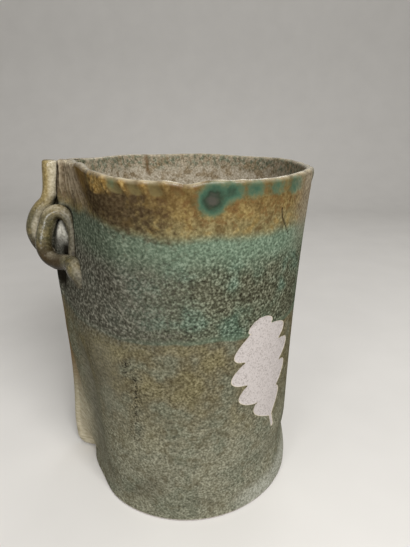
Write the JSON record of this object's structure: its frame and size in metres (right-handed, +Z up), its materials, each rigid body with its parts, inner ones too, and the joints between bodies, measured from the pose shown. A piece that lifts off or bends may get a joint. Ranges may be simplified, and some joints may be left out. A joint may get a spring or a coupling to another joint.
{
  "type": "ceramic vase",
  "caption": "Slab-built stoneware vase, an open leaning cylinder with a thumbed rim, a strip over its side seam and a knot of clay coils beside the mouth.",
  "frame": {"origin": "centre of the floor's underside, on the surface that the vase stands on", "axes": "+Z up out of the mouth, -X towards the side seam and its knot, -Y towards the side that shows the knot's loop"},
  "size_m": [0.1894, 0.173, 0.2266],
  "materials": {
    "bare_clay": "matte fired clay",
    "inside_glaze": "satin speckled glaze",
    "banded_glaze": "satin speckled glaze in bands of amber, green and olive",
    "coil_glaze": "satin amber and olive glaze"
  },
  "bodies": {
    "root": {"base_disc": "bare_clay", "corner_coil": "inside_glaze", "wall_slab": "banded_glaze", "seam_strip": "banded_glaze", "hook_coil": "coil_glaze", "loop_coil": "coil_glaze"}
  },
  "joints": []
}
